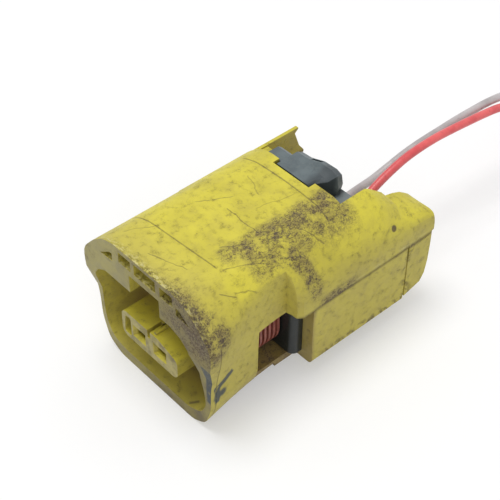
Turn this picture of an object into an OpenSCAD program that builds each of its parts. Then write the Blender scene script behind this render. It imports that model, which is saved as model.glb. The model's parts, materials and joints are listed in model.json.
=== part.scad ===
// Two-way sealed wire connector housing with a sliding lock.
// +X right, +Y back along the wires, +Z up; it mates towards -Y.
// The origin is under the middle of the housing, on the surface that it stands on.

/* [Housing] */
// Length from the front edge to the back of the rear box
housing_l = 52.2; // [50:0.1:58]
// Height from the lowest point of the mouth to the flat deck
housing_h = 29; // [28:0.1:33]
// Half width of the mouth at its shoulders
mouth_hw = 16.3; // [15.6:0.1:18]
// Distance of the mouth's lower side walls inside its shoulders
lip_inset = 1.7; // [1:0.1:2.2]
// Distance of the body behind the mouth inside the mouth's shoulders
body_inset = 2.8; // [2.2:0.1:3]
// Distance of the rear box's sides inside the mouth's shoulders
box_inset = 0.2; // [0:0.1:1]
// Half width of the flat deck
deck_hw = 8.6; // [8.2:0.1:9.4]
// Distance that the mouth reaches below the body
mouth_drop = 2.9; // [1:0.1:4]
// Length over which the mouth narrows to the body
mouth_l = 18.6; // [15:0.1:20]
// Distance that the lower lip stands back from the deck's front edge
lip_back = 1.2; // [0:0.1:3]
// Wall thickness of the mouth, floor and rear box
wall = 1.5; // [1.1:0.1:2]

/* [Mating mouth] */
// Height of the mouth's ceiling
ceiling_z = 20.9; // [20:0.1:22]
// Half width of the latch channel in the ceiling
latch_hw = 3.8; // [2.5:0.1:5.5]
// Height of the latch channel above the ceiling
latch_h = 3.8; // [2:0.1:4]
// Depth of the latch channel
latch_l = 17; // [8:0.1:19]
// Depth of the mouth to the bulkhead
mouth_depth = 22.5; // [21:0.1:25]
// Depth of the cored pockets under the deck's front edge
pocket_l = 15; // [3:0.1:16.5]
// Thickness of the deck's skin over the pockets
skin = 0.7; // [0.5:0.1:1.2]
// Thickness of the bar between the pockets and the latch channel
bar_t = 1.2; // [0.8:0.1:1.6]

/* [Side windows] */
// Distance from the front edge to the window
window_y = 12.3; // [10:0.1:14]
// Height of the window's top edge
window_z = 16.7; // [14:0.1:18]
// Half width of the floor that shows in the windows
floor_hw = 12.1; // [11.6:0.1:12.6]

/* [Tower] */
// Half width of the terminal tower
tower_hw = 7.3; // [6.8:0.1:7.8]
// Height of the tower's underside
tower_z = 8.4; // [8:0.1:9]
// Height of the tower itself
tower_h = 6; // [5.4:0.1:6.4]
// Distance of the tower's face behind the front edge
tower_y = 0.3; // [0:0.1:4]
// Distance between the two terminals
pitch = 5.4; // [5:0.1:6]
// Width of a terminal cavity
cavity_w = 3.4; // [3.1:0.1:3.8]
// Height of a terminal cavity
cavity_h = 2.9; // [2.6:0.1:3.2]
// Length of the terminal cavities
cavity_l = 27; // [26:0.1:30]

/* [Interface seal] */
// Thickness of the seal between its ribs
seal_t = 2.9; // [1.8:0.1:3.1]
// Height of the seal's ribs
rib_h = 0.6; // [0.3:0.1:0.8]
// Distance between the seal's ribs
rib_pitch = 1; // [0.8:0.05:1.4]
// Number of ribs on the seal
ribs = 7; // [3:1:7]
// Length of the seal
seal_l = 7.2; // [6:0.1:7.6]

/* [Seal retainer] */
// Thickness of the dark plate behind the seal
retainer_t = 2.3; // [1.5:0.1:2.6]
// Half width of the plate where it shows in the windows
retainer_hw = 13.7; // [12.6:0.1:13.9]
// Gap between the plate and the mouth's walls
retainer_gap = 0.25; // [0.15:0.05:0.5]

/* [Rear box] */
// Height of the box's underside above the surface
box_z = 3; // [1:0.1:4]
// Height of the seam between the box and the roof
seam_z = 16.5; // [15.5:0.1:16.6]
// Width of the groove along the seam
seam_gap = 0.25; // [0.1:0.05:0.5]
// Height of the back wall under the wires
back_z = 10.4; // [8:0.1:11.4]
// Distance of the box's back wall in front of the roof's back edge
back_in = 0.9; // [0.4:0.1:2]
// Length of the corner pieces at the back of the box
corner_l = 5.8; // [4:0.1:8]
// Height of the left corner piece, which no roof covers
corner_z = 12.2; // [10:0.1:14]

/* [Roof] */
// Distance from the front edge to the deck's back edge
deck_l = 34.4; // [33.4:0.1:36]
// Depth of the notch for the thumb block in that edge
notch_l = 1.5; // [0.5:0.1:2]
// Distance from the front edge to where the hood starts to drop
hood_y = 40; // [39:0.1:41]
// Height of the brim behind the hood
brim_z = 23.3; // [22.8:0.1:25]
// Distance from the middle to the hood beside the slider
hood_x = 9.4; // [9:0.1:10]
// Thickness of the fin on the left
fin_t = 1.1; // [0.8:0.1:1.6]
// Length of the fin, from the front edge
fin_l = 48.5; // [46:0.1:50]

/* [Lock slider] */
// Thickness of the slider's plate
slider_t = 2.4; // [1.8:0.1:2.6]
// Depth of the plate's top below the deck
slider_z = 3.8; // [3.4:0.1:4.2]
// Half width of the slider's plate
slider_hw = 8.3; // [7.5:0.1:8.5]
// Distance from the front edge to the front of the slider's plate
slider_y = 19; // [18.6:0.1:24]
// Distance from the front edge to the back of the slider's plate
slider_end = 40; // [38:0.1:40.6]
// Distance from the middle to the thumb block's left side
thumb_left = 5.2; // [4:0.1:5.4]
// Distance from the middle to the thumb block's right side
thumb_right = 3; // [2.4:0.1:3.6]
// Length of the thumb block
thumb_l = 6.7; // [5.5:0.1:7]
// Height of the block's rear ridge above the deck
ridge_h = 1.1; // [0:0.1:1.5]
// Width of the low step to the left of the block
strip_w = 3.6; // [2:0.1:3.8]
// Running clearance all round the slider
slide_gap = 0.3; // [0.15:0.05:0.4]
// Distance that the slider travels
slide_travel = 3; // [1:0.1:3.4]

/* [Terminals and wires] */
// Height of the terminals' axis
axis_z = 11.2; // [10.9:0.1:11.5]
// Width of a terminal's box
terminal_w = 2.8; // [2.4:0.1:2.9]
// Height of a terminal's box
terminal_h = 2.2; // [2:0.1:2.4]
// Sheet thickness of the terminals
sheet = 0.3; // [0.2:0.05:0.4]
// Diameter over a wire's insulation
wire_d = 1.6; // [1.4:0.1:1.9]
// Diameter of a wire's bare strands
strand_d = 1; // [0.7:0.1:1.1]
// Diameter of the bore for a wire seal
bore_d = 4.4; // [4:0.1:4.8]
// Depth of the bore for a wire seal
bore_l = 9; // [7:0.1:11]

/* [Hidden] */
$fn = 48;
eps = 0.02;

yellow = "#d2c63c";
dark_grey = "#566068";
seal_red = "#b8452f";
tin = "#c9c3b2";
brass = "#c7a24a";

// Heights and places that follow from the sizes above
box_hw = mouth_hw - box_inset;            // half widths of the rear box,
lip_hw = mouth_hw - lip_inset;            // of the mouth's lower walls
body_hw = mouth_hw - body_inset;          // and of the body behind them
edge_hw = mouth_hw - 3.2;                 // where the deck's round edge ends
body_z = mouth_drop;                      // underside of the body
floor_z = body_z + wall;                  // top of the body's floor
plate_top = housing_h - slider_z;         // top of the slider's plate
channel_top = plate_top + slide_gap;      // the slider's channel
channel_z = plate_top - slider_t - slide_gap;
shelf_z = channel_z - wall;               // underside of the channel's floor
pocket_top = housing_h - skin;
pocket_z = ceiling_z + latch_h + bar_t;   // floor of the pockets
tower_top = tower_z + tower_h;
bore_y = tower_y + cavity_l;              // front of the wire seals' bores
core_end = bore_y + bore_l;               // back of the core
seal_y = mouth_depth - retainer_t - seal_l;
thumb_y = deck_l - notch_l + slide_gap;   // front of the thumb block
thumb_end = thumb_y + thumb_l;
box_end = housing_l - back_in;            // back of the rear box
corner_y = box_end - corner_l;            // front of its corner pieces
shoulder = housing_h - 2.9;               // where the deck's round edge ends
eave_z = seam_z - 1.4;                    // lowest point of the roof's edge

// Outline points of a section, each corner blended over the distance r
function unit(v) = v / norm(v);
function blend(a, p, b, r, n = 3) =
    let (s = p + unit(a - p) * min(r, norm(a - p) * 0.48),
         e = p + unit(b - p) * min(r, norm(b - p) * 0.48))
    [for (i = [0:n]) let (t = i / n)
        s * (1 - t) * (1 - t) + p * 2 * t * (1 - t) + e * t * t];
function mirrored(half) = [for (i = [len(half) - 1:-1:0]) [-half[i][0], half[i][1]]];
function section(half, r, left = []) =
    let (p = concat(half, mirrored(len(left) > 0 ? left : half)),
         q = concat(r, [for (i = [len(r) - 1:-1:0]) r[i]]), m = len(p))
    [for (i = [0:m - 1])
        each blend(p[(i + m - 1) % m], p[i], p[(i + 1) % m], q[i])];
function between(a, b, t) = a * (1 - t) + b * t;

// A solid through sections that have as many points each: [[y, outline], ...]
module loft(s) {
    m = len(s[0][1]);
    last = (len(s) - 1) * m;
    polyhedron(
        points = [for (k = s) for (p = k[1]) [p[0], k[0], p[1]]],
        faces = concat(
            [[for (i = [m - 1:-1:0]) i]],
            [for (k = [0:len(s) - 2]) for (i = [0:m - 1])
                let (a = k * m + i, b = k * m + (i + 1) % m)
                each [[a, b, b + m], [a, b + m, a + m]]],
            [[for (i = [0:m - 1]) last + i]]),
        convexity = 8);
}
// An outline in X and Z, drawn out along Y
module along_y(y0, y1) {
    translate([0, y1, 0]) rotate([90, 0, 0]) linear_extrude(y1 - y0) children();
}
// An outline in Y and Z, drawn out along X
module along_x(x0, x1) {
    translate([x0, 0, 0]) rotate([90, 0, 90]) linear_extrude(x1 - x0) children();
}
module box(x, y, z) {
    translate([x[0], y[0], z[0]]) cube([x[1] - x[0], y[1] - y[0], z[1] - z[0]]);
}
module both_sides() { children(); mirror([1, 0, 0]) children(); }
module placed() { translate([0, -housing_l / 2, 0]) children(); }

// ---- Outer housing ----
mouth_half = [[9.8, 0], [lip_hw - 1.6, 1.8], [lip_hw - 0.1, 6.2], [lip_hw + 0.1, 12],
    [mouth_hw, housing_h - 10.2], [mouth_hw, housing_h - 6.6],
    [edge_hw, shoulder], [10.4, housing_h - 0.7], [deck_hw - 1, housing_h]];
body_half = [[9.8, body_z], [body_hw - 1.6, body_z + 0.3], [body_hw - 0.1, body_z + 3.4],
    [body_hw, 12.6], [body_hw, 17.6], [body_hw, shoulder - 2],
    [edge_hw, shoulder], [10.4, housing_h - 0.7], [deck_hw - 1, housing_h]];
body_r = [1.2, 1.2, 1.6, 1.8, 1.7, 1.7, 0.6, 1.2, 0.8];
// The roof's two sides, from the seam up; the left one is squarer
step_half = [[body_hw, eave_z], [body_hw, seam_z + 4], [body_hw, shoulder - 1.2],
    [edge_hw, shoulder], [10.4, housing_h - 0.7], [deck_hw - 1, housing_h]];
roof_half = [[box_hw + 0.2, eave_z], [box_hw + 0.2, seam_z + 3.4], [box_hw - 0.8, shoulder - 3.2],
    [edge_hw, shoulder], [10.4, housing_h - 0.7], [deck_hw - 1, housing_h]];
roof_left = [[box_hw + 0.2, eave_z], [box_hw + 0.2, seam_z + 3.4], [box_hw + 0.1, shoulder - 3.4],
    [edge_hw, shoulder], [10.4, housing_h - 0.7], [deck_hw - 1, housing_h]];
brim_half = [[box_hw + 0.1, eave_z], [box_hw + 0.1, seam_z + 2.8], [box_hw - 0.6, brim_z - 2],
    [box_hw - 2.4, brim_z - 0.9], [box_hw - 4.7, brim_z - 0.3], [deck_hw - 1, brim_z]];
roof_r = [0.4, 1.4, 1.4, 1.2, 1.2, 0.6];
// How the hood drops to the brim: distance behind hood_y and share of the drop
hood_drop = [[1, 0.1], [2.8, 0.37], [4.5, 0.63], [5.6, 0.88], [7.4, 0.97], [9.3, 1.12],
    [10.8, 1.32]];
cave_half = [[box_hw - wall, seam_z - 3], [box_hw - wall, seam_z + 3],
    [box_hw - wall - 0.9, shoulder - 4.4], [12, shoulder - 1.8], [hood_x + 1, shoulder - 0.9],
    [hood_x + 1, seam_z - 3]];
cave_brim = [[box_hw - wall, seam_z - 5], [box_hw - wall, seam_z + 2],
    [box_hw - wall - 0.9, brim_z - 3.8], [12, brim_z - 2.9], [hood_x + 1, brim_z - 2.4],
    [hood_x + 1, seam_z - 5]];

// What lies below the roof's edge: it steps down over the corner pieces and rises again
module eave(y1, gap = 0) {
    polygon([[mouth_l - 1, 0], [mouth_l - 1, seam_z - gap], [corner_y, seam_z - gap],
        [corner_y, eave_z + 0.1 - gap], [housing_l - 1.6, seam_z - 0.1 - gap],
        [y1, seam_z + 1.2 - gap], [y1, 0]]);
}

// The right half of the mouth is keyed: its top corner is cut to a long curve
cut_r = [1.5, 1.2, 1.2, 1, 1, 1, 1, 0.7, 0.5];
mouth_left = [[9, 2.3], [12, 3.4], [13.4, 6.4], [13.7, 10.5], [13.85, 14],
    [13.75, 17.6], [12.9, 19.6], [10.6, ceiling_z], [6.4, ceiling_z]];
mouth_right = [[9, 2.3], [12, 3.8], [13.4, 6.8], [12.9, 9.9], [12.1, 12.4],
    [11.6, 15.6], [10.9, 18.4], [8.9, 20.1], [6.4, ceiling_z]];
mouth_back = [[9, floor_z], [10.8, floor_z + 0.5], [11.9, floor_z + 2.4], [12, 10.5],
    [12, 13], [12, 15.6], [11.9, 18.2], [10.4, ceiling_z - 0.3], [6.4, ceiling_z]];

module mouth_cut() {
    loft([[-0.6, section(mouth_right, cut_r, mouth_left)],
        [lip_back + 0.5, section(mouth_right, cut_r, mouth_left)],
        [mouth_l - 4, section(mouth_back, cut_r)],
        [mouth_depth + eps, section(mouth_back, cut_r)]]);
    // latch channel in the ceiling
    box([-latch_hw, latch_hw], [-1, latch_l], [ceiling_z - 1, ceiling_z + latch_h]);
}
module pockets() {
    for (s = [[-6.3, -3.2, 0.2], [-2.3, 3.1, 0], [4.2, 7.3, 0.2]])
        box([s[0], s[1]], [-1, pocket_l], [pocket_z, pocket_top - s[2]]);
    both_sides() along_y(-1, pocket_l)
        polygon([[8.1, pocket_z - 1.1], [8.1, pocket_top - 1.7], [9, pocket_top - 2],
            [11.4, pocket_z - 1.3]]);
}
module windows() {
    both_sides() difference() {
        box([floor_hw - 3.2, box_hw + 2], [window_y, mouth_depth + 1], [-1, window_z]);
        box([floor_hw - 4, floor_hw], [window_y - 1, mouth_depth + 2], [-2, floor_z]);
        box([body_hw - 0.6, box_hw + 3], [mouth_l + 0.4, mouth_depth + 2],
            [seam_z, window_z + 1]);
    }
}
module slider_channel() {
    box([-slider_hw - slide_gap, slider_hw + slide_gap],
        [slider_y - slide_gap, housing_l + 1], [channel_z, channel_top]);
    // notch for the thumb block, and the open slot behind the deck
    box([-thumb_left - slide_gap, thumb_right + slide_gap],
        [deck_l - notch_l, deck_l + 1], [channel_top - 1, housing_h + 1]);
    box([-box_hw - 0.2 + fin_t, hood_x], [deck_l, housing_l + 1], [channel_z, housing_h + 1]);
    // on the left only the fin goes on behind the deck
    box([-box_hw - 1, 0], [deck_l, housing_l + 1], [shoulder - 3.3, housing_h + 1]);
}
module outer_housing() placed() color(yellow) difference() {
    union() {
        // the mouth flares in a curve to the body
        loft([[0, section(mouth_half, body_r)], for (i = [0:7]) let (t = i / 7)
            [between(lip_back + 0.3, mouth_l, t),
                section(between(mouth_half, body_half, sin(90 * t)), body_r)]]);
        // roof over the rear box: it steps out behind the windows and ends in hood and brim
        difference() {
            loft(concat([[mouth_l - eps, section(step_half, roof_r)],
            [mouth_l + 0.5, section(between(step_half, roof_half, 0.75), roof_r,
                between(step_half, roof_left, 0.75))]],
            [for (y = [mouth_l + 1.4, hood_y]) [y, section(roof_half, roof_r, roof_left)]],
            [for (h = hood_drop) [hood_y + h[0],
                section(between(roof_half, brim_half, h[1]), roof_r, roof_left)]],
            [[housing_l - 0.5, section(between(roof_half, brim_half, 1.45), roof_r, roof_left)],
            [housing_l, section([for (p = between(roof_half, brim_half, 1.55))
                [p[0] * 0.97, p[1] * 0.98]], roof_r, roof_left)]]));
            along_x(-box_hw - 1, box_hw + 1) eave(housing_l + 1);
        }
        // floor that reaches back to the bulkhead
        box([-floor_hw, floor_hw], [mouth_l - 1, mouth_depth], [body_z, floor_z]);
    }
    mouth_cut();
    pockets();
    windows();
    slider_channel();
    // the lower lip stands back from the deck
    along_x(-mouth_hw - 1, mouth_hw + 1)
        polygon([[-1, -1], [lip_back, -1], [lip_back, 13.6], [0, 18], [-1, 18]]);
    // space inside the roof
    both_sides() loft([for (k = [[mouth_depth - 0.8, 0], [hood_y, 0], [hood_y + 5, 1],
        [housing_l + 1, 1.2]]) [k[0], between(cave_half, cave_brim, k[1])]]);
    along_x(-hood_x - 1.1, hood_x + 1.1)
        polygon([[mouth_depth - 0.8, seam_z - 3], [housing_l + 1, seam_z - 3],
            [housing_l + 1, shelf_z - 1], [hood_y + 5, shelf_z - 1], [hood_y, shelf_z],
            [mouth_depth - 0.8, shelf_z]]);
    box([-floor_hw, floor_hw], [mouth_depth - 1, mouth_depth + 1], [floor_z, shelf_z]);
    // behind the slider's seat the slot is open all the way down
    box([-box_hw - 0.2 + fin_t, hood_x], [slider_end + 0.6, housing_l + 1], [0, housing_h]);
    // back edge of the fin
    along_x(-box_hw - 1, 0)
        polygon([[fin_l, housing_h], [fin_l - 0.2, shoulder - 3.6], [fin_l - 1, shoulder - 4.3],
            [fin_l + 0.2, 18.4], [fin_l + 1.4, 16.8], [fin_l + 1.6, 12], [housing_l + 1, 12],
            [housing_l + 1, housing_h]]);
}

// ---- Inner housing: tower, bulkhead, core and rear box ----
module tower_outline(grow = 0) {
    offset(r = grow) offset(r = 1.4) offset(delta = -1.4)
        polygon([[-tower_hw, tower_z], [tower_hw - 0.6, tower_z], [tower_hw, tower_z + 0.8],
            [tower_hw, tower_top - 1.6], [pitch / 2 - 0.2, tower_top], [-tower_hw, tower_top]]);
}
module inner_housing() placed() color(yellow) difference() {
    union() {
        along_y(tower_y, mouth_depth + wall) tower_outline();
        // polarising rib on the tower's top
        box([pitch / 4 - 0.3, pitch / 4 + 0.3], [tower_y + 0.4, seal_y - 0.5],
            [tower_top - 1, tower_top + 0.5]);
        // middle of the bulkhead, up to the slider's channel
        box([-10, 10], [mouth_depth, mouth_depth + wall], [box_z, shelf_z - 0.3]);
        // core that holds the wire seals
        along_y(mouth_depth, core_end) offset(r = 1.5) offset(delta = -1.5)
            polygon([[-tower_hw, tower_z - 1.6], [tower_hw, tower_z - 1.6],
                [tower_hw, tower_top + 1.2], [-tower_hw, tower_top + 1.2]]);
        both_sides() box([tower_hw - 2, tower_hw - 0.8], [mouth_depth, core_end],
            [box_z, tower_z]);
        // rear box
        difference() {
            intersection() {
                along_y(mouth_depth, box_end) offset(r = 1) offset(delta = -1)
                    polygon([[-box_hw, box_z], [box_hw, box_z], [box_hw, seam_z + 2],
                        [-box_hw, seam_z + 2]]);
                along_x(-box_hw - 1, box_hw + 1) eave(housing_l + 1, seam_gap);
            }
            // inside, with a bulkhead in front and a floor that rises at the back
            along_x(-box_hw + wall, box_hw - wall) translate([0, wall])
                polygon([[mouth_depth + wall, box_z], [corner_y - 1.2, box_z],
                    [corner_y - 0.2, box_z + 1.1], [box_end - wall - 1.8, box_z + 2.2],
                    [box_end - wall - 0.8, box_z + 3.8], [box_end - wall, box_z + 6.5],
                    [box_end - wall, housing_h], [mouth_depth + wall, housing_h]]);
            // the back wall is lower, and the corner pieces tuck in under the roof
            box([-box_hw + wall, box_hw - wall], [box_end - wall - 1, housing_l + 1],
                [back_z, housing_h]);
            box([-box_hw - 1, 0], [corner_y, housing_l + 1], [corner_z, housing_h]);
            // the lower back corner is cut off and rounded
            along_x(-box_hw - 1, box_hw + 1)
                polygon([[corner_y, box_z - 1], [box_end + 1, box_z - 1],
                    [box_end + 1, box_z + 12], [box_end + 0.05, box_z + 12], [box_end - 0.2, box_z + 6.8],
                    [box_end - 0.7, box_z + 3.8], [box_end - 1.7, box_z + 2.2],
                    [corner_y, box_z + 1.1]]);
        }
    }
    for (x = [-pitch / 2, pitch / 2]) translate([x, 0, axis_z]) {
        // terminal cavity, with a wider lead-in at the face
        box([-cavity_w / 2, cavity_w / 2], [tower_y + 1, bore_y + eps],
            [-cavity_h / 2, cavity_h / 2]);
        box([-1.3, 1.3], [tower_y - 1, tower_y + 2], [-1, 1]);
        hull() {
            box([-1.7, 1.7], [tower_y - eps, tower_y], [-1.35, 1.35]);
            box([-1.3, 1.3], [tower_y + 0.6, tower_y + 0.62], [-1, 1]);
        }
        // bore for the wire seal
        translate([0, core_end + 1, 0]) rotate([90, 0, 0]) cylinder(d = bore_d, h = bore_l + 1);
    }
    // cored recess beside the left cavity, and a notch between the two
    along_y(tower_y - 1, tower_y + 5) offset(r = 0.4) offset(delta = -0.4)
        polygon([[-tower_hw + 0.6, tower_z + 0.9], [-pitch / 2 - 2.2, tower_z + 0.9],
            [-pitch / 2 - 2.2, tower_top - 0.9], [-tower_hw + 1, tower_top - 1.1]]);
    box([-0.35, 0.35], [tower_y - 1, tower_y + 3], [tower_top - 1.6, tower_top + 1]);
    // vertical groove in front of the corner pieces
    both_sides() box([box_hw - 0.3, box_hw + 1],
        [corner_y - 0.25, corner_y + 0.1], [box_z - 1, seam_z]);
}

// ---- Seals and retainer ----
module interface_seal($fn = 24) placed() color(seal_red) difference() {
    union() {
        along_y(seal_y, seal_y + seal_l) tower_outline(seal_t);
        for (i = [0:ribs - 1])
            translate([0, seal_y + seal_l / 2 + (i - (ribs - 1) / 2) * rib_pitch, 0])
                along_y(-rib_pitch / 4, rib_pitch / 4) tower_outline(seal_t + rib_h);
    }
    along_y(seal_y - 1, seal_y + seal_l + 1) tower_outline();
    box([pitch / 4 - 0.4, pitch / 4 + 0.4], [seal_y - 1, seal_y],
        [tower_top - 1, tower_top + 0.6]);
}
module seal_retainer() placed() color(dark_grey) difference() {
    union() {
        along_y(mouth_depth - retainer_t, mouth_depth) offset(delta = -retainer_gap)
            polygon(section(mouth_back, cut_r));
        box([-retainer_hw, retainer_hw], [mouth_depth - retainer_t, mouth_depth],
            [floor_z + 0.3, seam_z - 0.4]);
    }
    along_y(0, housing_l) tower_outline();
    // the outer edges are rounded towards the front
    both_sides() translate([retainer_hw, mouth_depth - retainer_t, 0]) difference() {
        box([-1.4, 1], [-1, 1.4], [0, housing_h]);
        translate([-1.4, 1.4, -1]) cylinder(r = 1.4, h = housing_h + 2);
    }
}

// ---- Lock slider ----
module lock_slider() placed() color(dark_grey) difference() {
    union() {
        box([-slider_hw, slider_hw], [slider_y, slider_end],
            [plate_top - slider_t, plate_top]);
        // thumb block: flat top, a raised ridge at the back, and a side that leans out
        loft([for (k = [[thumb_y, 0, 0, 0], [deck_l + slide_gap, 0, 0, 0],
            [thumb_end - 3.3, 0.6, 0.1, 0], [thumb_end - 1.9, 1, 1, 0],
            [thumb_end - 0.6, 0.9, 0.9, 0.4], [thumb_end, 0.6, 0, 1]])
            let (w = k[1], h = housing_h + k[2] * ridge_h, d = k[3] * 0.9, top = housing_h)
            [k[0], [[-thumb_left, plate_top - 1], [thumb_right + w * 1.6, plate_top - 1],
                [thumb_right + w * 2.4, top - 1.6], [thumb_right + w * 2, h - 0.5 - d],
                [thumb_right - 0.4 + w * 1.1, h - d], [0.6, h + 0.03 - 0.1 * k[2] - d * 1.2],
                [-1.3, top + 0.04 + 0.3 * k[2] - d * 1.4], [-2.6, top + 0.03 - d * 1.8],
                [-thumb_left, top - d * 2.2]]]]);
        // low step to the left, behind the deck's edge
        along_x(-thumb_left - strip_w, -thumb_left + 0.1)
            polygon([[deck_l + slide_gap, plate_top - 1], [deck_l + slide_gap, housing_h - 0.7],
                [deck_l + 2.8, housing_h - 0.8], [deck_l + 3.6, housing_h - 1.4],
                [deck_l + 3.9, plate_top - 1]]);
    }
    // groove between the step and the block, dimple in the ridge, window in the plate
    along_x(-thumb_left - 0.1, -thumb_left + 0.35)
        polygon([[thumb_y - 1, plate_top + 1.2], [thumb_end + 1, plate_top + 1.2],
            [thumb_end + 1, housing_h + 3], [thumb_y - 1, housing_h + 3]]);
    box([-1.7, 0.7], [thumb_end - 1.7, thumb_end - 0.9], [housing_h - 0.6, housing_h + 3]);
    box([-slider_hw + 1.8, slider_hw - 1.8], [slider_y + 2, thumb_y - 4],
        [plate_top - slider_t - 1, plate_top + 1]);
}

// ---- Terminals ----
module terminal() color(tin) {
    l = cavity_l - 8;
    y0 = tower_y + 2.6;
    difference() {
        box([-terminal_w / 2, terminal_w / 2], [y0, y0 + l - 7], [-terminal_h / 2, terminal_h / 2]);
        box([-terminal_w / 2 + sheet, terminal_w / 2 - sheet], [y0 - 1, y0 + l],
            [-terminal_h / 2 + sheet, terminal_h / 2 - sheet]);
    }
    // floor strip and the two crimps
    box([-0.7, 0.7], [y0 + l - 7.5, bore_y + 1.6], [-terminal_h / 2, -terminal_h / 2 + sheet]);
    for (c = [[y0 + l - 4, 3, strand_d], [y0 + l + 1, 3, wire_d]])
        translate([0, c[0], -terminal_h / 2 + sheet + c[2] / 2]) rotate([-90, 0, 0])
            difference() {
                cylinder(d = c[2] + 2 * sheet, h = c[1]);
                translate([0, 0, -1]) cylinder(d = c[2], h = c[1] + 2);
            }
}
module spring() color(brass)
    along_x(-terminal_w / 2 + 0.5, terminal_w / 2 - 0.5) let (h = terminal_h / 2 - sheet)
        polygon([[tower_y + 3, h], [tower_y + 3, h - sheet], [tower_y + 7, h - 0.8],
            [tower_y + 11, h - sheet], [tower_y + 11, h], [tower_y + 10, h],
            [tower_y + 7, h - 0.5], [tower_y + 4, h]]);
module conductor() color("#b8733a") {
    y0 = tower_y + 2.6 + cavity_l - 8 - 4.6;
    translate([0, y0, -terminal_h / 2 + sheet + strand_d / 2]) rotate([-90, 0, 0])
        cylinder(d = strand_d - 0.02, h = 5.2);
}
module at_terminal(side) placed() translate([side * pitch / 2, 0, axis_z]) children();
module terminal_left() at_terminal(-1) terminal();
module terminal_right() at_terminal(1) terminal();
module spring_left() at_terminal(-1) spring();
module spring_right() at_terminal(1) spring();
module conductor_left() at_terminal(-1) conductor();
module conductor_right() at_terminal(1) conductor();
module wire_seal() color("#8f4a3a") translate([0, bore_y + 2, 0]) rotate([-90, 0, 0])
    difference() {
        union() {
            cylinder(d = bore_d - 0.7, h = bore_l - 2.6);
            for (i = [0:2]) translate([0, 0, 1 + i * 1.9]) cylinder(d = bore_d, h = 0.8);
        }
        translate([0, 0, -1]) cylinder(d = wire_d, h = bore_l + 2);
    }
module wire_seal_left() at_terminal(-1) wire_seal();
module wire_seal_right() at_terminal(1) wire_seal();

// ---- Wires ----
// Routes from the crimps, over the back wall and down to a coil on the surface
wire_y = tower_y + 2.6 + cavity_l - 8 + 1;
red_route = [[pitch / 2, wire_y, axis_z], [pitch / 2, 30, axis_z], [pitch / 2, 37, axis_z],
    [2.7, 40.5, 12.1], [2.7, 44, 14.4], [2.7, 47.5, 16.8], [2.7, 50.5, 18.5],
    [2.7, 54, 19.9], [2.7, 58, 21], [2.7, 62, 21.4], [2.7, 66.5, 21.4], [2.7, 71, 21],
    [2.7, 76, 20.4], [2.7, 81, 19.7], [2.7, 85, 18.9], [2.7, 89, 17.4], [2.7, 92.5, 15],
    [2.7, 95.5, 11.8], [2.7, 98.3, 8.2], [2.7, 101, 4.8], [2.7, 103.6, 2.2], [2.7, 106.4, 0.9]];
grey_route = [[-pitch / 2, wire_y, axis_z], [-pitch / 2, 30, axis_z], [-pitch / 2, 37, axis_z],
    [-2.7, 40.5, 11.6], [-2.7, 44, 12.5], [-2.7, 47.5, 13.2], [-2.7, 51.5, 13.6],
    [-2.5, 55.8, 14.1], [-2.2, 59.5, 15.2], [-1.8, 63.4, 16.5], [-1.3, 67.3, 17.5],
    [-0.8, 71.2, 18.2], [-0.3, 75.3, 18.9], [0.2, 79.5, 19.4], [0.6, 84, 19.6],
    [1, 88.5, 19.2], [1.4, 92.6, 17.8], [1.8, 96.3, 15.2], [2.1, 99.5, 11.8],
    [2.4, 102.3, 8.3], [2.6, 105, 5.2], [2.7, 107.5, 3.3], [2.7, 110, 2.6]];
// Coils: middle, mean radius and how far back the upper one lies
coil_y = 110;
coil_r = 9;
coil_x = 2.7 + coil_r + wire_d / 2;
coil_back = 2.4;

function tangent(p, i) = unit(p[min(i + 1, len(p) - 1)] - p[max(i - 1, 0)]);
module tube(p, d, sides = 8) {
    m = len(p);
    rings = [for (i = [0:m - 1]) let (t = tangent(p, i),
        u = unit(cross([0, 0, 1], t)), v = cross(t, u))
        [for (k = [0:sides - 1]) p[i] + d / 2 * (cos(360 * k / sides) * u
            + sin(360 * k / sides) * v)]];
    polyhedron(points = [for (r = rings) each r],
        faces = concat([[for (k = [0:sides - 1]) k]],
            [for (i = [0:m - 2]) for (k = [0:sides - 1])
                let (a = i * sides + k, b = i * sides + (k + 1) % sides)
                each [[a, a + sides, b + sides], [a, b + sides, b]]],
            [[for (k = [sides - 1:-1:0]) (m - 1) * sides + k]]));
}
module wire_red() placed() color("#d8484c") tube(red_route, wire_d);
module wire_grey() placed() color("#9a9f9e") tube(grey_route, wire_d);
// Two turns side by side, flat on the surface or on the coil below
module coil(level) translate([coil_x, coil_y + level * coil_back, level * wire_d])
    rotate_extrude($fn = 64) translate([coil_r - wire_d, 0]) square([2 * wire_d, wire_d]);
module coil_red() placed() color("#d8484c") coil(0);
module coil_grey() placed() color("#9a9f9e") coil(1);

outer_housing();
inner_housing();
interface_seal();
seal_retainer();
lock_slider();
terminal_left();
terminal_right();
spring_left();
spring_right();
conductor_left();
conductor_right();
wire_seal_left();
wire_seal_right();
wire_red();
wire_grey();
coil_red();
coil_grey();
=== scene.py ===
"""Looks of a two-way sealed wire connector housing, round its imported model.

Metres, +X right, +Y back along the wires, +Z up, with the origin under the middle of the housing.
Finishes and the wires' routes work in millimetres, with y from the deck's front edge.
"""
import json
import math

import bmesh
import bpy
from mathutils import Matrix, Vector

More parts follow.
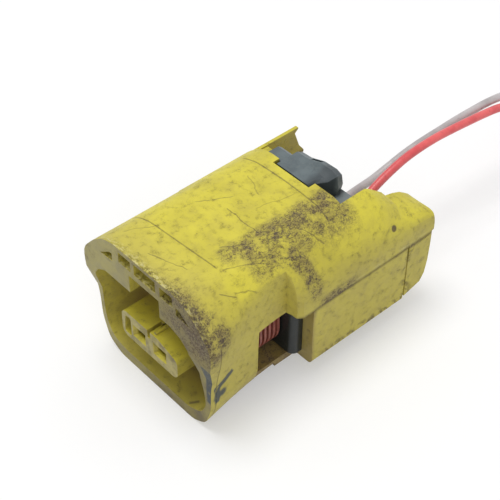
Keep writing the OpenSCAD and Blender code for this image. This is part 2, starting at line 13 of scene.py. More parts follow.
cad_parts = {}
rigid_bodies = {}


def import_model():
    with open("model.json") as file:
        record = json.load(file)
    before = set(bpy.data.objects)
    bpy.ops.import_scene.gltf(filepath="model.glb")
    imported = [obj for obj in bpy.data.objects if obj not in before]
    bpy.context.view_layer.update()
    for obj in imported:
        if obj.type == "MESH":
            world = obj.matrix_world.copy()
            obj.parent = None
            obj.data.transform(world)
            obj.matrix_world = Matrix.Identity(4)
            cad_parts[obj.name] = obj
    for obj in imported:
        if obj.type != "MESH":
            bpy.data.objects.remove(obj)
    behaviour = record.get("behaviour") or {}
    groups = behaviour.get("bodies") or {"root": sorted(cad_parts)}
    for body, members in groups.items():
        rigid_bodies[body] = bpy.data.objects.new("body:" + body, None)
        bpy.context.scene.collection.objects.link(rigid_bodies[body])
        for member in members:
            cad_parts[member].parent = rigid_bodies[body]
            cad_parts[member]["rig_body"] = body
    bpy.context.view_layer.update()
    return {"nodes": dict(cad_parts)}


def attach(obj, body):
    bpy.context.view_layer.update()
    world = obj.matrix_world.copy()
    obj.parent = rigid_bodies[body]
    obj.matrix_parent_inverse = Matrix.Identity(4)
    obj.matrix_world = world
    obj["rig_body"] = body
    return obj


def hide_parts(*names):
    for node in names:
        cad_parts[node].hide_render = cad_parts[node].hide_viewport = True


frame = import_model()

NODES = frame["nodes"]
MM = 0.001
FRONT_Y = -0.0261          # the deck's front edge


def rgb(r, g, b):
    """A colour as it looks on a screen, 0 to 255, as the linear colour that a shader takes."""
    return tuple((c / 255 / 12.92) if c / 255 <= 0.04045 else ((c / 255 + 0.055) / 1.055) ** 2.4
                 for c in (r, g, b)) + (1.0,)


def placed(name, data):
    """A new object with that data, in the scene."""
    obj = bpy.data.objects.new(name, data)
    bpy.context.scene.collection.objects.link(obj)
    return obj


def applied(obj):
    """The mesh of an object as its modifiers and curve settings leave it."""
    return bpy.data.meshes.new_from_object(obj.evaluated_get(bpy.context.evaluated_depsgraph_get()))


def apply_all(obj):
    """Puts that mesh in the object's place, with the modifiers gone."""
    mesh, old = applied(obj), obj.data
    obj.modifiers.clear()
    obj.data = mesh
    if old.users == 0:
        bpy.data.meshes.remove(old)
    mesh.name = obj.name


def finished(obj, material):
    obj.data.materials.clear()
    obj.data.materials.append(material)


# ---------------------------------------------------------------- camera
def make_camera():
    data = bpy.data.cameras.new("camera")
    data.lens, data.sensor_width, data.sensor_fit = 90, 36, "HORIZONTAL"
    data.clip_start, data.clip_end = 0.005, 20
    cam = placed("camera", data)
    right = Vector((0.667332, 0.744757, 0.002519))
    up = Vector((-0.516696, 0.460537, 0.721756))
    back = Vector((0.536372, -0.482952, 0.692143))
    turn = Matrix((right, up, back)).transposed().to_4x4()
    cam.matrix_world = Matrix.Translation((0.11446, -0.10644, 0.16632)) @ turn
    bpy.context.scene.camera = cam


make_camera()


# ---------------------------------------------------------------- cords
WIRE_MM = 1.6                                  # outside diameter
WIRE_D = WIRE_MM * MM
WIRE_X = 2.7                                   # mm, half the pitch of the two cavities
COIL_Y, COIL_R, COIL_BACK = 110, 9.0, 2.4      # mm: middle, mean radius, the upper coil's way back
COIL_TURNS = 1.625
STEP_FROM, STEP_LONG = 0.73, 0.25              # turns: where the wire steps over to its second turn
STRAND_D, STRAND_OUT = 0.00036, 0.0009         # seven strands, a little past the insulation
RED = [(2.7, 22.9, 11.2), (2.7, 30, 11.2), (2.7, 37, 11.2), (2.7, 40.5, 12.1), (2.7, 44, 14.4),
       (2.7, 47.5, 16.8), (2.7, 50.5, 18.5), (2.7, 54, 19.9), (2.7, 58, 21), (2.7, 62, 21.4),
       (2.7, 66.5, 21.4), (2.7, 71, 21), (2.7, 76, 20.4), (2.7, 81, 19.7), (2.7, 85, 18.9),
       (2.7, 89, 17.4), (2.7, 92.5, 15), (2.7, 95.5, 11.8), (2.7, 98.3, 8.2), (2.7, 101, 4.8),
       (2.7, 103.6, 2.2), (2.7, 106.4, 0.9)]
GREY = [(-2.7, 22.9, 11.2), (-2.7, 30, 11.2), (-2.7, 37, 11.2), (-2.7, 40.5, 11.6),
        (-2.7, 44, 12.5), (-2.7, 47.5, 13.2), (-2.7, 51.5, 13.6), (-2.5, 55.8, 14.1),
        (-2.2, 59.5, 15.2), (-1.8, 63.4, 16.5), (-1.3, 67.3, 17.5), (-0.8, 71.2, 18.2),
        (-0.3, 75.3, 18.9), (0.2, 79.5, 19.4), (0.6, 84, 19.6), (1, 88.5, 19.2),
        (1.4, 92.6, 17.8), (1.8, 96.3, 15.2), (2.1, 99.5, 11.8), (2.4, 102.3, 8.3),
        (2.6, 105, 5.2), (2.7, 107.5, 3.3), (2.7, 110, 2.6)]


def smooth_route(points, steps=6):
    """Points on a smooth curve through the given ones."""
    p = [Vector(q) for q in points]
    p = [2 * p[0] - p[1]] + p + [2 * p[-1] - p[-2]]
    out = []
    for i in range(1, len(p) - 2):
        a, b, c, d = p[i - 1:i + 3]
        for k in range(steps):
            t = k / steps
            out.append(0.5 * (2 * b + (c - a) * t + (2 * a - 5 * b + 4 * c - d) * t * t
                              + (3 * b - 3 * c + d - a) * t ** 3))
    return out + [p[-2]]


def coil_points(level, per_turn=40):
    """The rest of a wire: one turn, then a second inside it, with a step over between the two."""
    outer, inner = COIL_R + WIRE_MM / 2, COIL_R - WIRE_MM / 2
    cx, cy, z = WIRE_X + outer, COIL_Y + level * COIL_BACK, (0.5 + level) * WIRE_MM
    points = []
    for i in range(int(COIL_TURNS * per_turn) + 1):
        t = i / per_turn
        over = min(max((t - STEP_FROM) / STEP_LONG, 0.0), 1.0)
        r = outer - (outer - inner) * over * over * (3 - 2 * over)
        a = math.pi - 2 * math.pi * t
        points.append(Vector((cx + r * math.cos(a), cy + r * math.sin(a), z)))
    return points


def wire_path(points, level):
    """A wire's middle line in metres: its route, a point halfway to its coil, and the coil."""
    route, coil = smooth_route(points), coil_points(level)
    path = route + [(route[-1] + coil[0]) / 2] + coil
    return [Vector((p.x * MM, p.y * MM + FRONT_Y, p.z * MM)) for p in path]


def wire_tube(name, path):
    """A round tube with closed ends along a path, as a mesh."""
    data = bpy.data.curves.new(name, "CURVE")
    data.dimensions = "3D"
    data.bevel_depth = WIRE_D / 2
    data.bevel_resolution = 5
    data.use_fill_caps = True
    data.resolution_u = 1
    spline = data.splines.new("POLY")
    spline.points.add(len(path) - 1)
    for point, place in zip(spline.points, path):
        point.co = (*place, 1)
    spline.use_smooth = True
    line = placed(name + "_line", data)
    tube = applied(line)
    bpy.data.objects.remove(line)
    bpy.data.curves.remove(data)
    tube.name = name
    return placed(name, tube)


def cut_strands(name, path, material):
    """Seven copper strands standing out of a wire's cut end: one in the middle and six round it."""
    tree = bpy.data.node_groups.new(name, "GeometryNodeTree")
    tree.interface.new_socket("Geometry", in_out="OUTPUT", socket_type="NodeSocketGeometry")

    def add(kind, **values):
        n = tree.nodes.new(kind)
        for key, value in values.items():
            n.inputs[key.replace("_", " ")].default_value = value
        return n

    middle = add("GeometryNodePoints", Count=1)
    ring = add("GeometryNodeMeshCircle", Vertices=6, Radius=STRAND_D * 1.02)
    spots = add("GeometryNodeJoinGeometry")
    strand = add("GeometryNodeMeshCylinder", Vertices=12, Radius=STRAND_D / 2, Depth=2 * STRAND_OUT)
    copies = add("GeometryNodeInstanceOnPoints")
    turn = (path[-1] - path[-2]).to_track_quat("Z", "Y").to_euler()
    moved = add("GeometryNodeTransform", Translation=path[-1], Rotation=turn)
    real = add("GeometryNodeRealizeInstances")
    finish = add("GeometryNodeSetMaterial", Material=material)
    out = add("NodeGroupOutput")
    for source, target in (
            (middle.outputs[0], spots.inputs[0]), (ring.outputs[0], spots.inputs[0]),
            (spots.outputs[0], copies.inputs["Points"]), (strand.outputs[0], copies.inputs["Instance"]),
            (copies.outputs[0], moved.inputs["Geometry"]), (moved.outputs[0], real.inputs["Geometry"]),
            (real.outputs[0], finish.inputs["Geometry"]), (finish.outputs[0], out.inputs[0])):
        tree.links.new(source, target)
    obj = placed(name, bpy.data.meshes.new(name))
    obj.modifiers.new("strands", "NODES").node_group = tree
    apply_all(obj)
    bpy.data.node_groups.remove(tree)
    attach(obj, "housing")
    return obj


def lay_wire(colour, points, level, insulation, copper):
    """A wire in place of its two plain solids, with the strands at its cut end."""
    path = wire_path(points, level)
    wire = wire_tube(f"{colour}_wire", path)
    strands = cut_strands(f"{colour}_strands", path, copper)
    finished(wire, insulation)
    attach(wire, "housing")
    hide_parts(f"wire_{colour}", f"coil_{colour}")


# ---------------------------------------------------------------- shader sums
class Sum:
    """A shader socket that numbers and other sockets can be added to, multiplied by and so on."""

    def __init__(self, tree, socket):
        self.tree, self.socket = tree, socket

    def made(self, kind, a, b=None):
        n = self.tree.nodes.new("ShaderNodeMath")
        n.operation = kind
        for socket, value in zip(n.inputs, (a, b)):
            if isinstance(value, Sum):
                self.tree.links.new(value.socket, socket)
            elif value is not None:
                socket.default_value = value
        return Sum(self.tree, n.outputs[0])

    def __add__(self, o): return self.made("ADD", self, o)
    def __radd__(self, o): return self.made("ADD", o, self)
    def __sub__(self, o): return self.made("SUBTRACT", self, o)
    def __mul__(self, o): return self.made("MULTIPLY", self, o)
    def __rmul__(self, o): return self.made("MULTIPLY", o, self)
    def size(self): return self.made("ABSOLUTE", self)
    def least(self, o): return self.made("MINIMUM", self, o)
    def most(self, o): return self.made("MAXIMUM", self, o)
    def root(self): return self.made("SQRT", self)

    def above(self, low, high):
        """0 below low, 1 above high, smooth between them; turned round where high is the lower."""
        n = self.tree.nodes.new("ShaderNodeMapRange")
        n.interpolation_type = "SMOOTHSTEP"
        n.clamp = True
        n.inputs["From Min"].default_value, n.inputs["From Max"].default_value = sorted((low, high))
        n.inputs["To Min"].default_value = 0 if low <= high else 1
        n.inputs["To Max"].default_value = 1 if low <= high else 0
        self.tree.links.new(self.socket, n.inputs["Value"])
        return Sum(self.tree, n.outputs[0])

    def within(self, low, high, soft):
        """1 between low and high, falling to 0 over the distance soft outside them."""
        return self.above(low - soft, low) * self.above(high + soft, high)


class Finish:
    """A material being made: its nodes, its place on the object and its shader."""

    def __init__(self, name, roughness=0.5, **fixed):
        self.material = bpy.data.materials.new(name)
        self.material.use_nodes = True
        self.tree = self.material.node_tree
        self.shader = self.tree.nodes["Principled BSDF"]
        self.shader.inputs["Roughness"].default_value = roughness
        for key, value in fixed.items():
            self.shader.inputs[key.replace("_", " ")].default_value = value
        coords = self.node("ShaderNodeTexCoord")
        self.place = self.node("ShaderNodeVectorMath", {"operation": "SCALE"},
                               Vector=coords.outputs["Object"], Scale=1 / MM).outputs[0]
        parts = self.node("ShaderNodeSeparateXYZ", Vector=self.place)
        self.x, self.y, self.z = (Sum(self.tree, out) for out in parts.outputs)
        self.y = self.y - FRONT_Y / MM
        look = self.node("ShaderNodeNewGeometry")
        facing = self.node("ShaderNodeSeparateXYZ", Vector=look.outputs["Normal"])
        self.ny, self.nz = (Sum(self.tree, out) for out in list(facing.outputs)[1:])

    def joined(self, value, socket):
        """Sets a socket to a number, a colour, another socket or a sum."""
        if isinstance(value, Sum):
            value = value.socket
        if isinstance(value, bpy.types.NodeSocket):
            self.tree.links.new(value, socket)
        else:
            socket.default_value = value

    def node(self, kind, settings=None, **values):
        n = self.tree.nodes.new(kind)
        for key, value in (settings or {}).items():
            setattr(n, key, value)
        for key, value in values.items():
            self.joined(value, n.inputs[key.replace("_", " ")])
        return n

    def noise(self, scale, detail=4.0, roughness=0.55, stretch=(1, 1, 1), shift=0.0, distort=0.0):
        """Noise of about 0 to 1; scale is in waves a millimetre."""
        place = self.node("ShaderNodeMapping", Vector=self.place, Scale=stretch,
                          Location=(shift, shift * 0.7, shift * 1.3)).outputs[0]
        n = self.node("ShaderNodeTexNoise", Vector=place, Scale=scale, Detail=detail,
                      Roughness=roughness, Distortion=distort)
        return Sum(self.tree, n.outputs["Fac"])

    def mix(self, share, a, b):
        """Colour a where share is 0 and b where it is 1."""
        n = self.node("ShaderNodeMix", {"data_type": "RGBA"})
        for socket, value in zip([s for s in n.inputs if s.enabled], (share, a, b)):
            self.joined(value, socket)
        return next(s for s in n.outputs if s.enabled)

    def colour(self, socket):
        self.joined(socket, self.shader.inputs["Base Color"])

    def gloss(self, value):
        self.joined(value, self.shader.inputs["Roughness"])

    def bump(self, height, depth, strength):
        """height is in shares of depth, which is in millimetres."""
        n = self.node("ShaderNodeBump", Height=height, Strength=strength, Distance=depth * MM)
        self.joined(n.outputs[0], self.shader.inputs["Normal"])

    def near(self, x=None, y=None, z=None):
        """Distance in millimetres from a point, or from a line along the axis that isn't given."""
        total = None
        for mine, at in ((self.x, x), (self.y, y), (self.z, z)):
            if at is not None:
                step = (mine - at) * (mine - at)
                total = step if total is None else total + step
        return total.root()

    def stroke(self, u, v, start, end, half, soft, wave=0.0):
        """1 along a line from start to end on the plane of u and v, at most half a width from it."""
        long = math.hypot(end[0] - start[0], end[1] - start[1])
        du, dv = (end[0] - start[0]) / long, (end[1] - start[1]) / long
        off = (u - start[0]) * dv - (v - start[1]) * du
        if wave:
            off = off + (self.noise(0.4, 2, shift=start[0]) - 0.5) * wave
        run = (u - start[0]) * du + (v - start[1]) * dv
        return off.size().above(half + soft, half) * run.within(0.0, long, 0.4)


# ---------------------------------------------------------------- worn yellow moulding
def yellow_plastic(f, film, mottle):
    """Yellow under a thin uneven film, with the upright sides turned olive by painted shade."""
    base = f.mix(f.noise(0.09, 3, shift=3.0).above(0.38, 0.66), rgb(214, 202, 66), rgb(198, 186, 62))
    # the film and the painted shade of the upright sides both turn the yellow olive
    base = f.mix((film * 0.3 + f.nz.above(0.75, 0.1) * 0.6).least(0.9), base, rgb(176, 162, 78))
    return f.mix(mottle.above(0.54, 0.78) * 0.35, base, rgb(160, 146, 72))


def grey_front_and_painted_light(f, base, film, inner):
    """Grey front edges, painted shade deeper in the mouth, and a painted highlight with wear on the
    seam's lip.
    """
    x, y, z, ny = f.x, f.y, f.z, f.ny
    face = ny.above(-0.5, -0.85) * y.above(2.2, 1.6)
    # the front faces greyer, darker towards the right
    front_grey = f.mix(x.above(-10.0, 4.0), rgb(150, 142, 98), rgb(110, 100, 66))
    base = f.mix(face * (0.7 + 0.3 * film), base, front_grey)
    behind = y.above(23.5, 22.0)
    if inner:
        mouth_shade = y.above(0.8, 9.0) * behind
        bare = ny.above(-0.5, -0.85) * f.noise(0.5, 4, 0.6, shift=33.0).above(0.36, 0.60)
        base = f.mix(bare * 0.45, base, rgb(204, 192, 122))
    else:
        mouth_shade = y.above(1.2, 8.0) * behind * x.size().above(13.9, 12.0) * z.above(21.6, 20.4)
    # painted shade: the mouth browner and darker the deeper in
    base = f.mix(mouth_shade * 0.8, base, rgb(134, 110, 70))
    # painted highlight with some wear: a pale line along the lip over the seam
    lip_highlight = (z - 17.1).size().above(0.5, 0.15) * y.above(18.0, 20.0) * film
    return f.mix(lip_highlight * 0.6, base, rgb(204, 194, 120))


def settled_dirt(f, patch):
    """Oily dirt in patches, in the seam, low down, and beside the step at the box's back."""
    x, y, z = f.x, f.y, f.z
    seam = (z - 16.4).size().above(0.8, 0.05) * y.above(18.0, 20.0)
    low = z.within(2.4, 3.8, 1.8) * y.above(24.0, 27.0)
    back = (y - 45.6).size().above(1.8, 0.3) * z.within(5.0, 15.0, 3.0)
    return (patch.above(0.58, 0.72) * 0.35 + seam * (0.45 + 0.5 * patch) + z.above(4.2, 2.2) * 0.2
            + (low * 0.8 + back * 0.5) * x.size().above(14.5, 15.5) * patch.above(0.47, 0.58))


def rubbed_places(f):
    """The shoulder, the front and its corner, the step behind the window and the brim."""
    x, y, z = f.x, f.y, f.z
    band = (x - 6.6).size().above(2.6, 0.4) * y.within(12.0, 34.0, 2.5)
    beyond = (x - 9.6).size().above(4.6, 1.5) * y.within(15.0, 34.0, 3.0)
    front = y.above(4.0, 0.6) * x.above(2.0, 9.0) * z.above(16.5, 21.0)
    side = f.near(y=2.6, z=22.6).above(3.8, 1.2) * x.above(11, 12)
    corner = f.near(x=13.5, y=1.5, z=24.5).above(5.0, 1.0)
    step = f.stroke(x, y, (11.4, 20.8), (16.4, 23.2), 0.6, 1.4) * z.above(17.5, 22.0)
    brim = (z - 17.2).size().above(2.0, 0.5) * y.within(26.0, 30.0, 4.0) * x.above(13.5, 14.5)
    return (band + beyond * 0.8 + front * 0.9 + side * 0.9 + corner * 0.5 + step * 1.2
            + brim).least(1.25)


def scuffs(f, specks):
    """Haze and dirt of the rubbed places: grain, specks and fine threads, in blots."""
    rubbed = rubbed_places(f)
    blots = f.noise(0.45, 5, 0.6, shift=27.0)
    grain = f.noise(1.9, 9, 0.80, stretch=(1, 0.6, 1), shift=2.0)
    threads = (f.noise(1.3, 5, 0.7, stretch=(1.5, 0.7, 1.5), shift=23.0, distort=1.4) - 0.5).size()
    haze = rubbed * (0.16 + 0.34 * blots.above(0.38, 0.60))
    dirt = rubbed * (grain.above(0.515, 0.56) * blots.above(0.34, 0.52) * 0.95
                     + specks.above(0.52, 0.59) * blots.above(0.28, 0.48) * 0.75
                     + threads.above(0.020, 0.006) * blots.above(0.30, 0.50) * 0.7)
    return haze, dirt


# streaks over the deck: from, to, half a width in millimetres, strength
STREAKS = [((-1.6, 19.4), (5.8, 19.1), 0.035, 0.7), ((5.8, 19.1), (7.0, 20.6), 0.05, 0.8),
           ((-6.4, 16.5), (-3.6, 21.8), 0.03, 0.5), ((-2.0, 3.0), (4.6, 5.2), 0.03, 0.55),
           ((4.6, 12.4), (7.2, 16.8), 0.04, 0.6), ((-5.5, 27.4), (-1.0, 25.6), 0.03, 0.45),
           ((7.4, 23.6), (12.6, 27.4), 0.04, 0.55), ((-9.0, 3.6), (-6.2, 8.0), 0.03, 0.4),
           ((1.4, 23.0), (3.0, 29.6), 0.025, 0.4), ((8.4, 9.6), (10.8, 15.8), 0.03, 0.5),
           ((11.4, 6.4), (12.6, 8.4), 0.03, 0.6), ((12.2, 8.8), (13.2, 12.0), 0.03, 0.45)]


def single_marks(f):
    """A dent on the hood, an old burn in the mouth's lower side, and the deck's streaks."""
    x, y, z = f.x, f.y, f.z
    marks = f.near(x=15.3, y=41.8, z=22.4).above(0.75, 0.45)
    marks = marks + f.stroke(x, y, (8.4, 1.8), (9.3, 2.8), 0.1, 0.35) * z.above(4.0, 3.4) * 0.65
    upper = z.above(24.0, 25.5)
    for start, end, half, strength in STREAKS:
        marks = marks + f.stroke(x, y, start, end, half, 0.11, 1.2) * upper * strength
    return marks


def moulded_lines(f):
    """The two fine lines across the deck, and the one behind the rim on the side wall."""
    x, y = f.x, f.y
    first = (y - 8.3 - x * 0.07).size().above(0.18, 0.03) * x.within(-11.5, 7.2, 0.8)
    second = (y - 31.1 + x * x * 0.006).size().above(0.20, 0.04) * x.within(-10.0, 10.4, 0.8)
    rim = (y - 2.4).size().above(0.22, 0.04) * x.above(12.5, 13.2) * f.z.within(3.0, 21.0, 2.0)
    return (first + second).least(1.0) * f.nz.above(0.4, 0.8), rim


def rubber_marks(f):
    """A dark hooked mark low on the side wall and a strip down the front of the rim."""
    x, y, z = f.x, f.y, f.z
    hook = (f.stroke(y, z, (2.3, 10.6), (6.0, 12.6), 0.35, 0.5, 1.0)
            + f.stroke(y, z, (2.7, 7.4), (2.7, 11.4), 0.4, 0.5, 1.0)
            + f.near(y=3.9, z=9.0).above(1.2, 0.5)).least(1.0) * x.above(11.0, 12.0)
    strip = (f.ny.above(-0.5, -0.85) * y.above(3.5, 2.8) * z.within(8.4, 17.2, 0.8)
             * x.above(13.3, 13.8))
    return (hook + strip).least(1.0) * f.noise(0.9, 6, 0.7, shift=14.0).above(0.30, 0.44)


def scratches(f, patch):
    """Fine scratches, mostly along the housing and a few across."""
    along = (f.noise(2.2, 3, 0.5, stretch=(3.5, 0.22, 3.5), shift=31.0) - 0.5).size()
    across = (f.noise(1.6, 3, 0.5, stretch=(0.3, 2.6, 2.6), shift=37.0, distort=0.6) - 0.5).size()
    return (along.above(0.012, 0.002) * patch.above(0.44, 0.6)
            + across.above(0.010, 0.002) * patch.above(0.50, 0.64)).least(1.0)


def yellow_moulding(name, inner=False):
    """Worn yellow plastic with an oily film, dirt and scratches and, outside, scuffs and marks."""
    f = Finish(name, roughness=0.5, Specular_IOR_Level=0.4)
    film = f.noise(0.32, 6, 0.62, shift=11.0).above(0.42, 0.74)
    mottle = f.noise(1.1, 5, 0.65, shift=5.0)
    patch = f.noise(0.75, 8, 0.68, shift=21.0)
    specks = f.noise(3.4, 6, 0.72, shift=8.0)
    base = grey_front_and_painted_light(f, yellow_plastic(f, film, mottle), film, inner)
    haze = patch.above(0.50, 0.72) * 0.12
    dirt = settled_dirt(f, patch)
    height = f.noise(6.0, 4, 0.6, shift=1.0) * 0.35 + mottle * 0.2
    if not inner:
        deck = f.nz.above(0.2, 0.7)
        base = f.mix(f.y.above(11.0, 1.0) * deck * 0.4, base, rgb(176, 162, 86))
        # the deck's chipped front edge, pale where fresh and dark where old
        edge = f.y.above(1.7, 0.3) * deck
        chips = f.noise(1.5, 7, 0.75, stretch=(0.8, 1.6, 1), shift=41.0)
        base = f.mix(edge * chips.above(0.50, 0.58) * 0.8, base, rgb(206, 198, 142))
        old = edge * chips.above(0.49, 0.43)
        scuff_haze, scuff_dirt = scuffs(f, specks)
        lines, rim = moulded_lines(f)
        haze = haze + scuff_haze
        dirt = (dirt + old * f.x.above(-12.0, 4.0) * 0.9 + scuff_dirt + single_marks(f)
                + lines * (0.3 + 0.6 * patch) + rim * (0.35 + 0.5 * patch))
        height = height - lines * 1.4 - rim * 1.2 - old * 0.8
    scored = scratches(f, patch)
    dirt = (dirt + scored * 0.62 + specks.above(0.62, 0.71) * 0.55).least(1.0)
    base = f.mix(haze.least(0.8), base, rgb(124, 105, 78))
    dark = f.mix(f.noise(0.5, 4, shift=17.0).above(0.4, 0.6), rgb(62, 49, 56), rgb(84, 68, 50))
    base = f.mix(dirt * 0.86, base, dark)
    if not inner:
        base = f.mix(rubber_marks(f) * 0.92, base, rgb(44, 56, 64))
    f.colour(base)
    f.gloss(0.44 + dirt * 0.22 + mottle * 0.12)
    f.bump(height - dirt * 0.3 - scored * 0.5, 0.09, 0.75)
    return f.material


# ---------------------------------------------------------------- other finishes
def grey_plastic(name, light, dark, shaded_end_pale_plate=False):
    """Grey plastic, dusty on its upper faces and greasy in patches, with painted shade darkening its
    upright faces.
    """
    f = Finish(name, roughness=0.45)
    broad = f.noise(0.35, 5, 0.6, shift=4.0)
    base = f.mix(broad.above(0.3, 0.7), rgb(*dark), rgb(*light))
    dust = f.noise(1.6, 7, 0.7, shift=9.0).above(0.52, 0.70)
    base = f.mix(dust * f.nz.above(0.2, 0.8) * 0.25, base, rgb(132, 136, 128))
    grime = f.noise(2.6, 6, 0.7, shift=13.0).above(0.58, 0.68)
    base = f.mix(grime * 0.35, base, rgb(48, 54, 58))
    # painted shade: upright faces darker
    base = f.mix(f.nz.above(0.8, 0.3) * 0.35, base, rgb(*[round(c * 0.72) for c in dark]))
    if shaded_end_pale_plate:
        # painted shade darkens the thumb block's right end, and the plate beside it is made lighter
        base = f.mix(f.x.above(0.8, 2.6) * f.x.above(5.4, 4.6) * 0.85, base, rgb(50, 58, 62))
        base = f.mix(f.x.above(4.8, 5.6) * 0.75, base, rgb(126, 134, 137))
    f.colour(base)
    f.gloss(0.38 + dust * 0.3)
    f.bump(f.noise(5.0, 4, 0.6) * 0.5 - grime * 0.5, 0.07, 0.6)
    return f.material


def silicone(name, colour, shade):
    """Satin silicone rubber with a trace of grease in the grooves."""
    f = Finish(name, roughness=0.36, Subsurface_Weight=0.06, Subsurface_Radius=(0.002, 0.0006, 0.0004),
               Subsurface_Scale=0.5)
    broad = f.noise(0.8, 5, 0.6, shift=2.0)
    base = f.mix(broad.above(0.35, 0.65), rgb(*colour), rgb(*shade))
    grease = f.noise(2.4, 6, 0.66, shift=6.0).above(0.56, 0.70)
    f.colour(f.mix(grease * 0.55, base, rgb(60, 34, 24)))
    f.gloss(0.30 + broad * 0.2)
    f.bump(f.noise(4.0, 4) * 0.5, 0.05, 0.5)
    return f.material


def tinned_metal(name, colour, shade):
    """Thin stamped metal with a drawn grain and dull spots."""
    f = Finish(name, roughness=0.3, Metallic=1.0)
    grain = f.noise(4.0, 5, 0.6, stretch=(3, 0.3, 3), shift=3.0)
    dull = f.noise(1.3, 5, 0.65, shift=7.0)
    f.colour(f.mix(dull.above(0.42, 0.66), rgb(*colour), rgb(*shade)))
    f.gloss(0.24 + grain * 0.16 + dull.above(0.45, 0.7) * 0.2)
    f.bump(grain, 0.03, 0.5)
    return f.material


def insulation(name, colour, shade, dirt):
    """Extruded wire insulation: satin, slightly uneven, with smears of dirt."""
    f = Finish(name, roughness=0.38, Coat_Weight=0.15, Coat_Roughness=0.3)
    broad = f.noise(0.22, 4, 0.6, shift=5.0)
    base = f.mix(broad.above(0.36, 0.64), rgb(*colour), rgb(*shade))
    smear = f.noise(0.9, 6, 0.68, shift=9.0).above(0.56, 0.72)
    f.colour(f.mix(smear * 0.4, base, rgb(*dirt)))
    f.gloss(0.34 + smear * 0.22)
    f.bump(f.noise(1.8, 4) * 0.6, 0.06, 0.5)
    return f.material


OUTER = yellow_moulding("worn_yellow_outer")
INNER = yellow_moulding("worn_yellow_inner", inner=True)
SEAL = silicone("seal_silicone", (160, 92, 78), (130, 70, 60))
WIRE_SEAL = silicone("wire_seal_silicone", (176, 92, 70), (140, 66, 50))
RETAINER = grey_plastic("retainer_plastic", (34, 40, 38), (25, 30, 30))
SLIDER = grey_plastic("slider_plastic", (96, 108, 111), (76, 87, 91), shaded_end_pale_plate=True)
TIN = tinned_metal("terminal_tin", (206, 200, 186), (160, 150, 132))
BRASS = tinned_metal("spring_brass", (214, 172, 96), (170, 128, 70))
COPPER = tinned_metal("strand_copper", (206, 128, 84), (160, 88, 56))
RED_PVC = insulation("red_insulation", (232, 98, 98), (214, 78, 82), (140, 64, 62))
GREY_PVC = insulation("grey_insulation", (190, 184, 184), (170, 164, 164), (122, 114, 110))


# ---------------------------------------------------------------- mouldings
MELT = 2e-6                # metres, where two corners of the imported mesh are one


def moulded(node, name, material, radius, segments=2, angle=28):
    """The node's own shape with its edges rounded, as a moulding's are."""
    mesh = NODES[node].data.copy()
    bm = bmesh.new()
    bm.from_mesh(mesh)
    bmesh.ops.remove_doubles(bm, verts=bm.verts, dist=MELT)
    bmesh.ops.dissolve_degenerate(bm, dist=MELT / 2, edges=bm.edges)
    bmesh.ops.dissolve_limit(bm, angle_limit=math.radians(1.0), verts=bm.verts, edges=bm.edges)
    bm.to_mesh(mesh)
    bm.free()
    for p in mesh.polygons:
        p.use_smooth = True
    obj = placed(name, mesh)
    bevel = obj.modifiers.new("edges", "BEVEL")
    bevel.width, bevel.segments = radius, segments
    bevel.limit_method, bevel.angle_limit = "ANGLE", math.radians(angle)
    bevel.miter_outer = "MITER_ARC"
    weighted = obj.modifiers.new("normals", "WEIGHTED_NORMAL")
    weighted.keep_sharp = True
    apply_all(obj)
    finished(obj, material)
    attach(obj, NODES[node]["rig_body"])
    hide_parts(node)


moulded("outer_housing", "outer_shell", OUTER, 0.00022)
moulded("inner_housing", "inner_core", INNER, 0.00018)
moulded("lock_slider", "thumb_lock", SLIDER, 0.00025, 3)
moulded("seal_retainer", "retainer_plate", RETAINER, 0.0002)
moulded("interface_seal", "ribbed_seal", SEAL, 0.00016, 2, 40)

for material, nodes in (
        (TIN, ("terminal_left", "terminal_right")), (BRASS, ("spring_left", "spring_right")),
        (COPPER, ("conductor_left", "conductor_right")), (OUTER, ("outer_housing",)),
        (WIRE_SEAL, ("wire_seal_left", "wire_seal_right")), (INNER, ("inner_housing",)),
        (SLIDER, ("lock_slider",)), (RETAINER, ("seal_retainer",)), (SEAL, ("interface_seal",)),
        (RED_PVC, ("wire_red", "coil_red")), (GREY_PVC, ("wire_grey", "coil_grey"))):
    for node in nodes:
        finished(NODES[node], material)
lay_wire("red", RED, 0, RED_PVC, COPPER)
lay_wire("grey", GREY, 1, GREY_PVC, COPPER)


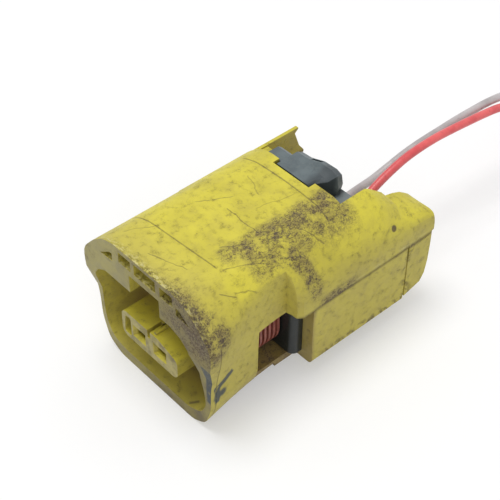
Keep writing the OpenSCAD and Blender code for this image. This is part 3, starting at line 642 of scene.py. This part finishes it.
# ---------------------------------------------------------------- floor, world, lamps
def looked_at(tree):
    """1 for rays from the camera and in reflections, which see plain white, and 0 for light."""
    path = tree.nodes.new("ShaderNodeLightPath")
    camera, glossy = (Sum(tree, path.outputs[f"Is {kind} Ray"]) for kind in ("Camera", "Glossy"))
    return camera.most(glossy)


def make_floor():
    """A white floor that keeps the shadow near the housing and is plain white far from it."""
    f = Finish("floor_white", roughness=0.9, Specular_IOR_Level=0.0)
    seen = looked_at(f.tree)
    f.colour(f.mix(seen, (0.82, 0.82, 0.82, 1), (1, 1, 1, 1)))
    out = f.node("ShaderNodeVectorMath", {"operation": "LENGTH"}, Vector=f.place).outputs["Value"]
    far = Sum(f.tree, out).above(70.0, 300.0)
    blend = f.node("ShaderNodeMixShader", Fac=seen * (0.35 + 0.65 * far))
    f.joined(f.shader.outputs[0], blend.inputs[1])
    f.joined(f.node("ShaderNodeEmission").outputs[0], blend.inputs[2])
    f.joined(blend.outputs[0], f.tree.nodes["Material Output"].inputs["Surface"])
    mesh = bpy.data.meshes.new("floor")
    bm = bmesh.new()
    bmesh.ops.create_grid(bm, x_segments=1, y_segments=1, size=1.6)
    bm.to_mesh(mesh)
    bm.free()
    mesh.materials.append(f.material)
    placed("floor", mesh)


def make_world():
    world = bpy.data.worlds.new("studio")
    world.use_nodes = True
    bpy.context.scene.world = world
    background = world.node_tree.nodes["Background"]
    background.inputs["Color"].default_value = (1, 1, 1, 1)
    strength = 0.60 + 0.40 * looked_at(world.node_tree)
    world.node_tree.links.new(strength.socket, background.inputs["Strength"])


def make_light(name, place, size, power):
    """A round lamp turned towards the housing."""
    data = bpy.data.lights.new(name, "AREA")
    data.shape, data.size, data.energy = "DISK", size, power
    lamp = placed(name, data)
    lamp.location = place
    lamp.rotation_mode = "QUATERNION"
    lamp.rotation_quaternion = (Vector((0, 0, 0.01)) - Vector(place)).to_track_quat("-Z", "Y")


make_floor()
make_world()
make_light("key", (-0.10, -0.06, 0.62), 0.32, 1.75)
make_light("fill", (0.50, -0.30, 0.35), 0.40, 0.45)
bpy.context.scene.view_settings.view_transform = "Standard"
